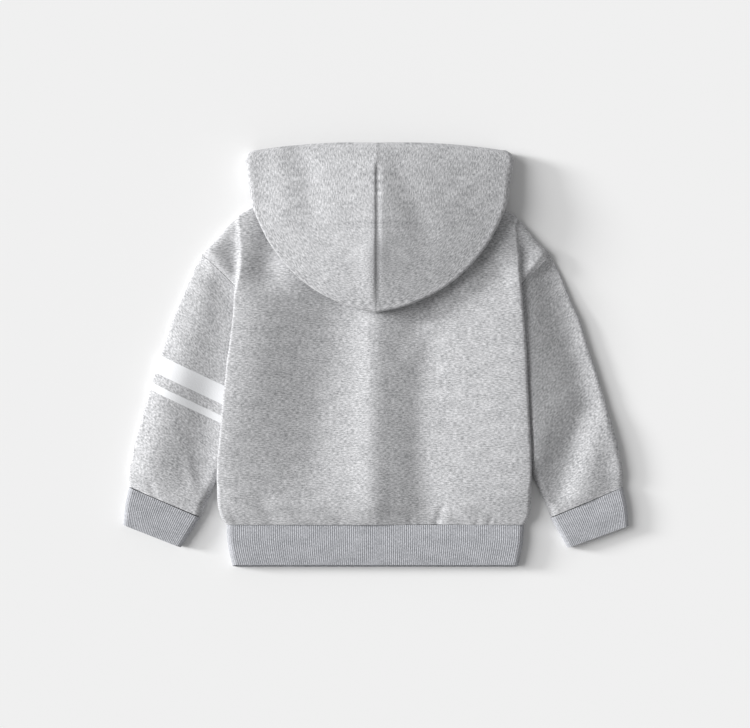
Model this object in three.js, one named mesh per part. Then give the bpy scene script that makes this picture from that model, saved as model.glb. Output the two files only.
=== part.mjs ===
import * as THREE from "three";

// A toddler's pullover hoodie, size 100, laid face down on a flat surface with its hood on its back.
// Millimetres. +Y runs from the hem to the hood, +X to the right seen from above, +Z up.
// Columns that end in L and R are half-widths or places on the left and on the right of the middle.

const wall = 2;
const seamGap = 0.3;
const clearance = 0.9;
const hoodClearance = 1.3;
const degree = Math.PI / 180;

// A table from the names of its columns and its rows.
const table = (names, ...rows) =>
  rows.map((row) => Object.fromEntries(names.map((name, i) => [name, row[i]])));

// The seam that joins the back's hidden edge to the front's upturned rim, above the surface.
const seamHeight = 6.2;
const rimHeight = seamHeight - 0.4;
const rimRadius = 3;

// Neck: highest points of the shoulders, and how far the back and the front dip between them.
const neckY = 190;
const backNeckDip = 18;
const frontNeckDip = 30;

// Hem band.
const hemSeamY = -192.7;
const hemEndY = -238.3;
const ribPitch = 2.4;
const ribHeight = 0.7;
// Share of the way round a band that stays plain next to its sides.
const ribMargin = 0.004;

// Outline of the body, a row for each place up the back: the side folds, their height and radius,
// the height of the crown between them, and the seam below or beside each fold.
// turn is how far the cloth has turned at the end of the fold, 0 outwards, 90 down, 180 inwards,
// and end is its direction where it reaches the seam.
const bodyRows = table(
  ["y", "foldL", "foldR", "seamL", "seamR", "seamZ", "top", "radius", "crown", "turn", "end"],
  [-192.4, 170, 168.5, 170, 168.5, 6.2, 14, 4.4, 15.5, 90, 90],
  [-182, 176.5, 174, 176, 173.5, 6.2, 17, 5, 19, 90, 90],
  [-168, 179.5, 175.8, 179, 175.3, 6.2, 19.5, 5.5, 22, 90, 90],
  [-152, 180, 176, 179.5, 175.5, 6.2, 21.5, 5.5, 24, 90, 90],
  [-140, 180, 176, 178, 173, 6.2, 22.5, 5, 25, 120, 110],
  [-126, 179.5, 175.8, 171, 166.5, 6.2, 23.5, 4.6, 25.5, 165, 140],
  [-106, 178, 175.2, 162, 157.5, 6.2, 24.5, 4.5, 26, 180, 150],
  [-80, 175.5, 173.8, 150, 146.5, 6.2, 25.2, 4.5, 26.5, 180, 150],
  [-52, 173, 172.4, 137, 134.5, 6.2, 26, 4.5, 27, 180, 150],
  [-24, 171, 171, 124, 122.5, 6.2, 26.3, 4.5, 27, 180, 150],
  [-6, 170, 170.3, 115, 114.5, 6.2, 26.5, 4.5, 27, 180, 150],
  [5, 169, 169.8, 110, 110, 6.4, 26.5, 4.5, 27, 180, 155],
  [20, 168, 168.9, 119, 119, 9.5, 26.5, 4.5, 27, 180, 170],
  [37, 166, 167.5, 131, 131, 12.8, 26.5, 4.5, 27, 180, 178],
  [55, 164, 166, 144, 144.5, 14, 26, 4.5, 27, 176, 176],
  [69, 162.6, 165, 154, 155.5, 14, 25.5, 4.5, 27, 145, 150],
  [80, 161.6, 164.2, 161.6, 164.2, 14.2, 24.8, 4.5, 27, 90, 90],
  [88, 161, 163.6, 169.5, 172, 14.4, 24, 4.8, 27, 58, 45],
  [97, 160.4, 163, 178.5, 181, 14.4, 23, 5, 27, 42, 22],
  [106, 160, 162.4, 188, 189.5, 12.6, 21.5, 5, 27, 38, 34],
  [115, 159.5, 161.8, 197, 197, 6.8, 19.8, 5, 27, 36, 80],
  [123, 159, 161.2, 189, 189, 6.2, 18.5, 5, 27, 36, 88],
  [131, 158.8, 160.6, 181.5, 181.5, 6.2, 17.2, 5, 27, 38, 90],
  [142, 159.5, 161, 172, 172.5, 6.2, 15.4, 5, 27, 48, 90],
  [154, 158.5, 161, 159.5, 162, 6.2, 13.6, 4.5, 26.5, 86, 90],
  [168, 139, 142, 139, 142, 6.2, 12, 4, 26, 90, 90],
  [180, 111, 112, 111, 112, 6.2, 11, 3.8, 26, 90, 90],
  [neckY, 82, 82, 82, 82, 6.2, 10.5, 3.6, 25.5, 90, 90],
);

// How far the middle of a row lies below its ends, for the rows that near the neck.
const neckRows = table(
  ["y", "back", "front"],
  [123, 0, 0],
  [131, 0, 1],
  [142, 0.5, 4],
  [154, 2, 10],
  [168, 7, 18],
  [180, 12.5, 24.5],
  [neckY, backNeckDip, frontNeckDip],
);

// How far the front's rim is turned up, in degrees: it lies flat along the armholes.
const rimRows = table(
  ["y", "rim"],
  [-192.4, 90],
  [0, 90],
  [8, 60],
  [20, 0],
  [104, 0],
  [115, 80],
  [123, 90],
  [neckY, 90],
);

// How the crown falls towards the side folds, and how close to them its own folds reach.
const archPower = 2.4;
const foldPower = 6;

// Soft ridges (rise above 0) and troughs of the back, each along a line from (x1, y1) to (x2, y2).
const backFolds = table(
  ["x1", "y1", "x2", "y2", "width", "rise"],
  [-66, 40, -70, -128, 46, -9],
  [-20, 30, -20, -172, 15, 4],
  [24, 10, 26, -172, 15, -5],
  [136, 30, 136, -120, 26, 2],
  [-118, 150, -132, 96, 25, -6],
  [81, 28, 53, -8, 7, 1.6],
  [74, -172, 68, -192, 4, -1.4],
  [98, -170, 108, -190, 5, 1.2],
  [-130, -160, -118, -190, 8, -1.2],
);

// Sleeve, a row for each ring from the armhole to the wrist: the outer and inner ends of the ring
// seen from above, its height, and how much of the armhole's bend it keeps.
const sleeveRows = table(
  ["outX", "outY", "inX", "inY", "height", "bend"],
  [197.5, 114.6, 111, 4.2, 14, 1],
  [203, 105, 115, -5, 14.5, 0.8],
  [212.5, 85, 122.5, -20, 15.5, 0.55],
  [222, 62, 132, -40, 16.5, 0.3],
  [232, 40, 141, -59, 17, 0.12],
  [240.5, 13, 150, -79, 17.5, 0],
  [250, -15, 159.5, -99, 17.5, 0],
  [258.5, -42, 167.5, -116, 17.5, 0],
  [266, -68, 175, -132, 17.5, 0],
  [273, -93, 182, -146, 17.5, 0],
  [278.5, -116, 188.5, -160, 17, 0],
  [281.5, -136, 194.5, -173, 16, 0],
  [281, -149.5, 198.5, -184, 13.5, 0],
);
const armholeGap = 0.6;
const sleeveEdge = 3.2;
const outerRound = 14;
const innerRound = 9;
const leastHeight = 5;
// Above overhangTop the back's fold no longer hangs over the sleeve. Below it the sleeve stays under
// the fold, and from foldMargin beside the fold it may rise again, by riseBeside for each millimetre.
const overhangTop = 80;
const foldMargin = 2;
const riseBeside = 0.7;

// Creases of the two sleeves, as on the back.
const sleeveFoldsL = table(
  ["x1", "y1", "x2", "y2", "width", "rise"],
  [-222, -20, -212, -125, 13, -5],
  [-212, 20, -207, -70, 9, 4],
  [-252, -30, -262, -120, 15, 3],
  [-255, -149, -249, -165, 5, -1.5],
);
const sleeveFoldsR = table(
  ["x1", "y1", "x2", "y2", "width", "rise"],
  [193, 60, 220, -45, 17, -5.5],
  [220, -55, 190, -158, 15, -5],
  [222, 52, 243, -30, 11, 4.5],
  [244, -50, 222, -150, 15, 4],
);

// Cuffs: the ends of each ring seen from above, from the wrist seam to the opening.
const cuffHeight = 11.5;
const cuffRowsL = table(
  ["outX", "outY", "inX", "inY", "scale"],
  [-280.3, -150.4, -200.2, -184.9, 1],
  [-284.6, -170, -210.5, -201, 1.04],
  [-287, -193, -222, -218.5, 0.94],
);
const cuffRowsR = table(
  ["outX", "outY", "inX", "inY", "scale"],
  [280.3, -150.4, 198.4, -185.2, 1],
  [284.8, -171, 208.5, -202, 1.04],
  [287, -194, 218, -219, 0.94],
);

// Hem band, from its seam to its lower edge. under is how far its lower layer reaches past the upper.
const hemRows = table(
  ["y", "left", "right", "height", "under"],
  [hemSeamY, 169.8, 168, 12.6, 0],
  [-208, 169, 167.5, 14, 1],
  [-226, 166, 164.5, 13.6, 2],
  [hemEndY, 163, 162, 12, 3.1],
);

// Hood, a row for each line that runs from the centre seam out over the cloth, round the fold and
// back below to the neck seam: first the edge of the face opening, last the centre seam below.
// bow is how far a line bends outwards between the seam and the fold. The fold's place is outX and
// outY, its lowest and highest points low and high, and the line below passes a point next to the
// shoulder, via, on its way to the neck.
const hoodRowsL = table(
  ["spineY", "spineZ", "bow", "outX", "outY", "low", "high",
    "viaX", "viaY", "viaZ", "neckX", "neckY", "neckZ"],
  [241.4, 27, 3.2, -147, 230, 0.2, 23, -82, 203, 0.2, -0.2, 160.9, 0.2],
  [231, 31, 2.8, -148, 220, 0.2, 26, -84, 200, 0.2, -26, 165, 0.2],
  [218, 35, 2.2, -146.5, 207, 0.4, 29, -86, 201, 0.4, -52, 175, 0.4],
  [203, 39, 1.4, -144.5, 194, 2, 32, -96, 198, 4.5, -75, 189, 3.6],
  [188, 42, 0.6, -142.5, 181, 8, 34, -104, 191, 11.4, -82, 192.2, 11],
  [173, 42, 0, -139, 166, 13.5, 34, -108, 176, 15.5, -76, 186, 13],
  [158, 43, 0, -132, 149, 19.5, 35.5, -100, 164, 22, -63, 181, 18],
  [144, 44, 0, -122, 129, 22.5, 37, -85, 155, 25.5, -50, 177.6, 21.4],
  [132, 44.2, 0, -106.5, 107, 25, 38, -70, 140, 27, -37, 174.6, 24],
  [121, 44.2, 0, -84, 84, 27, 38.6, -52, 128, 28, -24, 172.6, 25.8],
  [112, 44, 0, -56, 66.5, 27.6, 38.8, -33, 118, 28.4, -12, 171.4, 26.4],
  [105, 43.6, 0, -26, 55, 28, 39, -14, 113, 28.6, -4, 171, 26.6],
  [99, 43, 0, -0.2, 49.7, 28.2, 39, -0.2, 112, 28.6, -0.2, 171, 26.6],
);
// The right panel is a little wider than the left.
const hoodWiderR = 1.055;
// The rows from this one on pass over the shoulder and rest on the back.
const firstRowOnBack = 5;

const hoodFolds = table(
  ["x1", "y1", "x2", "y2", "width", "rise"],
  [-102, 232, -95, 175, 12, -3],
  [-8, 211, -87, 180, 11, 2.2],
  [16, 205, 48, 125, 13, -3],
  [88, 177, 107, 191, 6, 1.4],
);
// Groove along the hood's centre seam.
const grooveDepth = 2.6;
const grooveWidth = 5;
const grooveTop = 216;
const grooveFade = 20;
// The hood's lower layer lies this high where it rests on the surface beyond the shoulders.
const hoodLift = 0.2;

const mix = (a, b, t) => a + (b - a) * t;
const clamp = (value, low, high) => Math.min(high, Math.max(low, value));

// One column of a table as a smooth function of its key, with no overshoot between rows.
function columnOf(table, key, name) {
  const keys = table.map((row) => row[key]);
  const values = table.map((row) => row[name]);
  const last = keys.length - 1;
  const rates = keys.slice(1).map((place, i) => (values[i + 1] - values[i]) / (place - keys[i]));
  const slopes = keys.map((_, i) => {
    if (i === 0 || i === last) return rates[Math.min(i, last - 1)];
    const [before, after] = [rates[i - 1], rates[i]];
    return before * after <= 0 ? 0 : (2 * before * after) / (before + after);
  });
  return (place) => {
    const inside = clamp(place, keys[0], keys[last]);
    let i = 0;
    while (i < last - 1 && keys[i + 1] < inside) i += 1;
    const span = keys[i + 1] - keys[i];
    const t = (inside - keys[i]) / span;
    const blend = t * t * (3 - 2 * t);
    const start = t * (1 - t) * (1 - t) * span * slopes[i];
    const finish = t * t * (t - 1) * span * slopes[i + 1];
    return mix(values[i], values[i + 1], blend) + start + finish;
  };
}

const columnsOf = (table, key) =>
  Object.fromEntries(Object.keys(table[0]).map((name) => [name, columnOf(table, key, name)]));

// Height that a list of folds adds at a place, each fading to both sides and past its ends.
function foldHeight(folds, x, y) {
  return folds.reduce((sum, fold) => {
    const along = new THREE.Vector2(fold.x2 - fold.x1, fold.y2 - fold.y1);
    const from = new THREE.Vector2(x - fold.x1, y - fold.y1);
    const t = clamp(from.dot(along) / along.lengthSq(), 0, 1);
    const distance = from.addScaledVector(along, -t).length();
    return sum + fold.rise * Math.exp(-((distance / fold.width) ** 2));
  }, 0);
}

// A mesh from grid points: outer faces, inner faces, and the strips that close the wall's edges.
class Solid {
  constructor() {
    this.positions = [];
    this.triangles = [];
  }

  add(point) {
    this.positions.push(point.x, point.y, point.z);
    return this.positions.length / 3 - 1;
  }

  point(index) {
    return new THREE.Vector3().fromArray(this.positions, index * 3);
  }

  // Splits a quad along its shorter diagonal.
  quad(a, b, c, d) {
    const across = this.point(a).distanceTo(this.point(c));
    if (across <= this.point(b).distanceTo(this.point(d))) this.triangles.push(a, b, c, a, c, d);
    else this.triangles.push(a, b, d, b, c, d);
  }

  mesh(name, material) {
    const geometry = new THREE.BufferGeometry();
    geometry.setAttribute("position", new THREE.Float32BufferAttribute(this.positions, 3));
    geometry.setIndex(this.triangles);
    geometry.computeVertexNormals();
    const mesh = new THREE.Mesh(geometry, material);
    mesh.name = name;
    return mesh;
  }
}

// Unit normals of a grid of points. around says that each row closes on itself.
function gridNormals(grid, around) {
  const rows = grid.length;
  const columns = grid[0].length;
  return grid.map((row, i) => row.map((_, j) => {
    const down = grid[Math.max(i - 1, 0)][j];
    const up = grid[Math.min(i + 1, rows - 1)][j];
    const before = around ? row[(j + columns - 1) % columns] : row[Math.max(j - 1, 0)];
    const after = around ? row[(j + 1) % columns] : row[Math.min(j + 1, columns - 1)];
    return up.clone().sub(down).cross(after.clone().sub(before)).normalize();
  }));
}

// A panel: a wall of cloth with its outer points in a grid, closed along all four edges. adjust may
// change the normal of a point, so that the edges of two pieces lie square to each other at a seam.
function panelSolid(outer, adjust = () => {}) {
  const normals = gridNormals(outer, false);
  const solid = new Solid();
  const outside = outer.map((row) => row.map((point) => solid.add(point)));
  const inside = outer.map((row, i) => row.map((point, j) => {
    const normal = normals[i][j];
    adjust(normal, i, j);
    return solid.add(point.clone().addScaledVector(normal, -wall));
  }));
  const [rows, columns] = [outer.length - 1, outer[0].length - 1];
  for (let i = 0; i < rows; i += 1) {
    for (let j = 0; j < columns; j += 1) {
      solid.quad(outside[i][j], outside[i + 1][j], outside[i + 1][j + 1], outside[i][j + 1]);
      solid.quad(inside[i][j], inside[i][j + 1], inside[i + 1][j + 1], inside[i + 1][j]);
    }
    solid.quad(outside[i + 1][0], outside[i][0], inside[i][0], inside[i + 1][0]);
    solid.quad(outside[i][columns], outside[i + 1][columns], inside[i + 1][columns], inside[i][columns]);
  }
  for (let j = 0; j < columns; j += 1) {
    solid.quad(outside[0][j], outside[0][j + 1], inside[0][j + 1], inside[0][j]);
    solid.quad(outside[rows][j + 1], outside[rows][j], inside[rows][j], inside[rows][j + 1]);
  }
  return solid;
}

// A tube: rings of outer and of inner points, each ring a list of { share, point } in order round
// it, joined at both ends. The two may have different numbers of points.
function tubeSolid(outerRings, innerRings) {
  const solid = new Solid();
  const place = (rings) =>
    rings.map((ring) => ring.map(({ share, point }) => ({ share, index: solid.add(point) })));
  const outer = place(outerRings);
  const inner = place(innerRings);
  const skin = (rings, flip) => {
    for (let i = 0; i < rings.length - 1; i += 1) {
      const count = rings[i].length;
      for (let j = 0; j < count; j += 1) {
        const next = (j + 1) % count;
        const around = [rings[i][j], rings[i + 1][j], rings[i + 1][next], rings[i][next]];
        const corners = around.map(({ index }) => index);
        solid.quad(...(flip ? corners.reverse() : corners));
      }
    }
  };
  skin(outer, false);
  skin(inner, true);
  // Walks round both rings at once, always from the one that is behind.
  const close = (outside, inside, flip) => {
    let [i, j] = [0, 0];
    const shareAt = (ring, k) => (k >= ring.length ? 1 + ring[k - ring.length].share : ring[k].share);
    while (i < outside.length || j < inside.length) {
      const [a, b] = [outside[i % outside.length].index, inside[j % inside.length].index];
      const stepOut = i < outside.length
        && (j >= inside.length || shareAt(outside, i + 1) <= shareAt(inside, j + 1));
      const c = stepOut ? outside[(i + 1) % outside.length].index : inside[(j + 1) % inside.length].index;
      solid.triangles.push(...(flip ? [a, b, c] : [a, c, b]));
      if (stepOut) i += 1;
      else j += 1;
    }
  };
  close(outer[0], inner[0], false);
  close(outer[outer.length - 1], inner[inner.length - 1], true);
  return solid;
}

// The body's tables as functions of Y, for one side.
const body = columnsOf(bodyRows, "y");
const foldAt = (y, side) => (side < 0 ? body.foldL(y) : body.foldR(y));
const seamAt = (y, side) => (side < 0 ? body.seamL(y) : body.seamR(y));
const backDip = columnOf(neckRows, "y", "back");
const frontDip = columnOf(neckRows, "y", "front");
const rimTilt = columnOf(rimRows, "y", "rim");

// Upper surface of the back between its folds.
function backHeight(x, y) {
  const side = Math.sign(x) || 1;
  const reach = foldAt(y, side) - body.radius(y);
  const share = clamp(Math.abs(x) / reach, 0, 1);
  const arch = mix(body.crown(y), body.top(y), share ** archPower);
  return arch + foldHeight(backFolds, x, y) * (1 - share ** foldPower);
}

// One side of a row of the back: from the top of the fold, round it, and on to the seam.
function edgePath(y, side, roundSteps, flapSteps) {
  const radius = body.radius(y);
  const centre = { x: foldAt(y, side) - radius, z: body.top(y) - radius };
  const turn = body.turn(y) * degree;
  const end = body.end(y) * degree;
  const points = [];
  for (let k = 1; k <= roundSteps; k += 1) {
    const angle = (turn * k) / roundSteps;
    points.push({ x: centre.x + radius * Math.sin(angle), z: centre.z + radius * Math.cos(angle) });
  }
  const from = points[points.length - 1];
  const to = { x: seamAt(y, side), z: body.seamZ(y) };
  const pull = Math.hypot(to.x - from.x, to.z - from.z) / 3;
  const lead = { x: from.x + pull * Math.cos(turn), z: from.z - pull * Math.sin(turn) };
  const trail = { x: to.x - pull * Math.cos(end), z: to.z + pull * Math.sin(end) };
  const bezier = new THREE.CubicBezierCurve(
    new THREE.Vector2(from.x, from.z),
    new THREE.Vector2(lead.x, lead.z),
    new THREE.Vector2(trail.x, trail.z),
    new THREE.Vector2(to.x, to.z),
  );
  for (let k = 1; k <= flapSteps; k += 1) {
    const point = bezier.getPoint(k / flapSteps);
    points.push({ x: point.x, z: point.y });
  }
  return points.map(({ x, z }) => new THREE.Vector3(side * x, y, z));
}

function makeBack(material) {
  const crownSteps = 16;
  const grid = bodyRows.map(({ y }) => {
    const [reachL, reachR] = [-1, 1].map((side) => foldAt(y, side) - body.radius(y));
    const crown = [];
    for (let k = 0; k <= crownSteps; k += 1) {
      const x = mix(-reachL, reachR, k / crownSteps);
      const across = x < 0 ? x / reachL : x / reachR;
      const place = y - backDip(y) * (1 - across * across);
      crown.push(new THREE.Vector3(x, place, backHeight(x, y)));
    }
    return [...edgePath(y, -1, 4, 4).reverse(), ...crown, ...edgePath(y, 1, 4, 4)];
  });
  const seamNormal = (normal, i, j) => {
    if (j > 0 && j < grid[0].length - 1) return;
    const end = bodyRows[bodyRows.length - 1 - i].end * degree;
    normal.set((j === 0 ? -1 : 1) * Math.sin(end), 0, Math.cos(end));
  };
  return panelSolid(grid.reverse(), seamNormal).mesh("back_panel", material);
}

// The front lies flat on the surface. Along the shoulders and side seams its rim turns up.
function makeFront(material) {
  const flatSteps = 5;
  const roundSteps = 3;
  const roundLength = (Math.PI / 2) * rimRadius;
  const straight = rimHeight - rimRadius;
  const half = (y, side) => {
    const tilt = Math.max(rimTilt(y), 1) * degree;
    const radius = roundLength / tilt;
    const rimReach = radius * Math.sin(tilt) + straight * Math.cos(tilt);
    const reach = seamAt(y, side) - rimReach - clearance / 2;
    const points = [];
    for (let k = 1; k <= flatSteps; k += 1) points.push({ x: (reach * k) / flatSteps, z: 0 });
    for (let k = 1; k <= roundSteps; k += 1) {
      const angle = (tilt * k) / roundSteps;
      points.push({ x: reach + radius * Math.sin(angle), z: radius * (1 - Math.cos(angle)) });
    }
    const last = points[points.length - 1];
    points.push({ x: last.x + straight * Math.cos(tilt), z: last.z + straight * Math.sin(tilt) });
    return points.map(({ x, z }) => {
      const place = y - frontDip(y) * (1 - clamp(x / reach, 0, 1) ** 2);
      return new THREE.Vector3(side * x, place, z);
    });
  };
  const grid = bodyRows.filter((_, i) => i % 2 === 0 || i > 10).map(({ y }) => {
    const middle = new THREE.Vector3(0, y - frontDip(y), 0);
    return [...half(y, -1).reverse(), middle, ...half(y, 1)];
  });
  return panelSolid(grid).mesh("front_panel", material);
}

// Highest that a sleeve may reach below the back's fold, and beside it.
function sleeveLimit(x, y, side) {
  const fold = foldAt(y, side);
  const seam = seamAt(y, side);
  const below = body.top(y) - 2 * body.radius(y);
  const inner = fold - body.radius(y);
  const out = Math.abs(x);
  if (y > overhangTop) return Infinity;
  if (out > fold + foldMargin) return below - clearance + riseBeside * (out - fold - foldMargin);
  if (inner - seam < 1) return below - clearance;
  return mix(body.seamZ(y), below, clamp((out - seam) / (inner - seam), 0, 1)) - clearance;
}

// Where a ring of the sleeve has its points: distances from the outer and inner ends of the upper
// layer, and of the lower.
const upperStations = (width) => {
  const outer = [0, 1.4, 4.5, 9, outerRound];
  const inner = [innerRound, 4.5, 1.4, 0].map((distance) => width - distance);
  const between = 7;
  const middle = [];
  for (let k = 1; k <= between; k += 1) middle.push(mix(outerRound, width - innerRound, k / (between + 1)));
  return [...outer, ...middle, ...inner];
};
const lowerStations = (width) =>
  [width - 1, width - sleeveEdge, width * 0.75, width * 0.5, width * 0.25, sleeveEdge, 1];

const roundRise = (distance, reach) => {
  const rest = 1 - clamp(distance / reach, 0, 1);
  return Math.sqrt(1 - rest * rest);
};

function makeSleeve(name, side, folds, material) {
  const armholeBend = (y) => {
    const first = sleeveRows[0];
    const share = (first.outY - y) / (first.outY - first.inY);
    return seamAt(y, side) + armholeGap - mix(first.outX, first.inX, share);
  };
  const rings = sleeveRows.map((row, index) => {
    const width = Math.hypot(row.outX - row.inX, row.outY - row.inY);
    const place = (distance) => {
      const share = distance / width;
      const first = sleeveRows[0];
      const bend = row.bend * armholeBend(mix(first.outY, first.inY, share));
      return { x: side * (mix(row.outX, row.inX, share) + bend), y: mix(row.outY, row.inY, share) };
    };
    const upper = upperStations(width).map((distance) => {
      const { x, y } = place(distance);
      const rise = Math.min(roundRise(distance, outerRound), roundRise(width - distance, innerRound));
      const free = index === 0 ? body.seamZ(y) : row.height + foldHeight(folds, x, y);
      const height = Math.min(free, sleeveLimit(x, y, side));
      return new THREE.Vector3(x, y, sleeveEdge + (Math.max(height, leastHeight) - sleeveEdge) * rise);
    });
    const lower = lowerStations(width).map((distance) => {
      const { x, y } = place(distance);
      const rise = Math.min(roundRise(distance, sleeveEdge), roundRise(width - distance, sleeveEdge));
      return new THREE.Vector3(x, y, sleeveEdge * (1 - rise));
    });
    return side < 0 ? [...upper, ...lower] : [...upper, ...lower].reverse();
  });
  const normals = gridNormals(rings, true);
  const outer = rings.map((ring) => ring.map((point, j) => ({ share: j / ring.length, point })));
  const inner = rings.map((ring, i) => ring.map((point, j) => (
    { share: j / ring.length, point: point.clone().addScaledVector(normals[i][j], -wall) }
  )));
  return tubeSolid(outer, inner).mesh(name, material);
}

// Section of a flattened tube with round ends, by the share of the way round from its left end.
function stadium(halfWidth, height, inset, share) {
  const radius = height / 2;
  const straight = 2 * (halfWidth - radius);
  const quarter = (Math.PI / 2) * radius;
  const half = straight + 2 * quarter;
  const flip = share >= 0.5;
  const along = (flip ? 1 - share : share) * 2 * half;
  const reach = radius - inset;
  let [x, z] = [0, 0];
  if (along < quarter) {
    const angle = along / radius;
    [x, z] = [-straight / 2 - reach * Math.cos(angle), reach * Math.sin(angle)];
  } else if (along <= quarter + straight) {
    [x, z] = [along - quarter - straight / 2, reach];
  } else {
    const angle = (along - quarter - straight) / radius;
    [x, z] = [straight / 2 + reach * Math.sin(angle), reach * Math.cos(angle)];
  }
  return { x, z: radius + (flip ? -z : z) };
}

// A ribbed band: ribs on the side that shows, plain inside and where it rests.
function makeBand(name, rows, material) {
  const first = rows[0];
  const firstHalf = 2 * (first.half - first.height / 2) + (Math.PI / 2) * first.height;
  const ribs = Math.round(firstHalf / ribPitch);
  const outerShares = [];
  for (let k = 0; k < 2 * ribs; k += 1) outerShares.push(k / (4 * ribs));
  const lowerSteps = 14;
  for (let k = 0; k < lowerSteps; k += 1) outerShares.push(0.5 + k / (2 * lowerSteps));
  const innerSteps = 36;
  const innerShares = [];
  for (let k = 0; k < innerSteps; k += 1) innerShares.push(k / innerSteps);
  const ring = (row, shares, inset) => shares.map((share, k) => {
    const onTop = share > ribMargin && share < 0.5 - ribMargin;
    const rib = inset === 0 && onTop && k % 2 === 1 ? ribHeight : 0;
    const { x, z } = stadium(row.half, row.height, inset - rib, share);
    const [middleX, middleY] = row.middle;
    const lower = row.under * (1 - z / row.height);
    const point = new THREE.Vector3(middleX + x * row.across[0], middleY + x * row.across[1] - lower, z);
    return { share, point };
  });
  const outer = rows.map((row) => ring(row, outerShares, 0));
  const inner = rows.map((row) => ring(row, innerShares, wall));
  return tubeSolid(outer, inner).mesh(name, material);
}

function makeHem(material) {
  const rows = hemRows.map(({ y, left, right, height, under }) => (
    { half: (left + right) / 2, height, under, middle: [(right - left) / 2, y], across: [1, 0] }
  ));
  return makeBand("hem_band", rows, material);
}

function makeCuff(name, cuffRows, side, material) {
  const rows = cuffRows.map(({ outX, outY, inX, inY, scale }) => {
    const [from, to] = side < 0 ? [[outX, outY], [inX, inY]] : [[inX, inY], [outX, outY]];
    const width = Math.hypot(to[0] - from[0], to[1] - from[1]);
    return {
      half: width / 2,
      height: cuffHeight * scale,
      under: 0,
      middle: [(from[0] + to[0]) / 2, (from[1] + to[1]) / 2],
      across: [(to[0] - from[0]) / width, (to[1] - from[1]) / width],
    };
  });
  return makeBand(name, rows, material);
}

// Height at which the hood's lower layer rests: on the back, or on the surface past the shoulders.
function restingHeight(x, y) {
  const side = Math.sign(x) || 1;
  let row = y;
  for (let k = 0; k < 4; k += 1) {
    const share = clamp(Math.abs(x) / foldAt(row, side), 0, 1);
    row = y + backDip(row) * (1 - share * share);
  }
  if (row > neckY + seamGap || Math.abs(x) > foldAt(row, side) + armholeGap) return hoodLift;
  return backHeight(x, row) + hoodClearance;
}

// Upper side of the hood above its row's straight line: the groove at the seam, and its folds.
const hoodRelief = (x, y) => {
  const fade = clamp((grooveTop - y) / grooveFade, 0, 1);
  const groove = grooveDepth * Math.exp(-((x / grooveWidth) ** 2)) * fade;
  return foldHeight(hoodFolds, x, y) - groove;
};

function makeHoodPanel(name, side, material) {
  const upperSteps = 9;
  const foldSteps = 5;
  const lowerSteps = 8;
  const widen = side > 0 ? hoodWiderR : 1;
  const grid = hoodRowsL.map((row, index) => {
    const last = index === hoodRowsL.length - 1;
    const outX = Math.abs(row.outX) * (last ? 1 : widen);
    const spine = new THREE.Vector2(seamGap / 2, row.spineY);
    const out = new THREE.Vector2(Math.max(outX, seamGap / 2), row.outY);
    const via = new THREE.Vector2(Math.max(Math.abs(row.viaX), seamGap / 2), row.viaY);
    const neck = new THREE.Vector2(Math.max(Math.abs(row.neckX), seamGap / 2), row.neckY);
    const radius = (row.high - row.low) / 2;
    const middle = (row.high + row.low) / 2;
    const above = out.clone().sub(spine).normalize();
    const below = out.clone().sub(via).normalize();
    const points = [];
    for (let k = 0; k < upperSteps; k += 1) {
      const share = k / upperSteps;
      const plan = spine.clone().lerp(out.clone().addScaledVector(above, -radius), share);
      plan.y += 4 * row.bow * share * (1 - share);
      const relief = hoodRelief(side * plan.x, plan.y) * (1 - share ** 4);
      const height = mix(row.spineZ, row.high, share * share) + relief;
      points.push(new THREE.Vector3(plan.x, plan.y, height));
    }
    for (let k = 0; k <= foldSteps; k += 1) {
      const angle = (Math.PI * k) / foldSteps;
      const way = above.clone().lerp(below, k / foldSteps).normalize();
      const plan = out.clone().addScaledVector(way, -radius * (1 - Math.sin(angle)));
      points.push(new THREE.Vector3(plan.x, plan.y, middle + radius * Math.cos(angle)));
    }
    const turned = points[points.length - 1].clone();
    for (let k = 1; k <= lowerSteps; k += 1) {
      const t = k / lowerSteps;
      const [a, b, c] = [(1 - t) ** 2, 2 * t * (1 - t), t * t];
      const bent = (from, mid, to) => a * from + b * (2 * mid - (from + to) / 2) + c * to;
      points.push(new THREE.Vector3(
        bent(turned.x, via.x, neck.x),
        bent(turned.y, via.y, neck.y),
        bent(turned.z, row.viaZ, row.neckZ),
      ));
    }
    return points.map((point, j) => {
      const x = side * Math.max(point.x, seamGap / 2);
      const low = j < upperSteps || index < firstRowOnBack ? hoodLift : restingHeight(x, point.y);
      return new THREE.Vector3(x, point.y, Math.max(point.z, low));
    });
  });
  const ordered = side < 0 ? grid.reverse() : grid;
  const lastRow = side < 0 ? 0 : grid.length - 1;
  const squareToSeam = (normal, i, j) => {
    if (j === 0 || i === lastRow) normal.setX(0).normalize();
  };
  return panelSolid(ordered, squareToSeam).mesh(name, material);
}

const fleece = (color) => new THREE.MeshStandardMaterial({ color, roughness: 0.95, metalness: 0 });

const hoodie = new THREE.Group();
hoodie.name = "toddler_hoodie";
hoodie.add(
  makeFront(fleece("#a9aaad")),
  makeBack(fleece("#b9babd")),
  makeSleeve("sleeve_left", -1, sleeveFoldsL, fleece("#b2b3b6")),
  makeSleeve("sleeve_right", 1, sleeveFoldsR, fleece("#b2b3b6")),
  makeCuff("cuff_left", cuffRowsL, -1, fleece("#9fa1a6")),
  makeCuff("cuff_right", cuffRowsR, 1, fleece("#9fa1a6")),
  makeHem(fleece("#9fa1a6")),
  makeHoodPanel("hood_left", -1, fleece("#bdbec1")),
  makeHoodPanel("hood_right", 1, fleece("#b4b5b8")),
);

export default hoodie;
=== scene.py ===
"""A toddler's pullover hoodie, laid face down with its hood on its back.

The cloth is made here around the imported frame: thin shells of marl fleece and rib knit, with their
creases, seams and ribs, on a plain pale floor in soft light.
"""

import math

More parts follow.
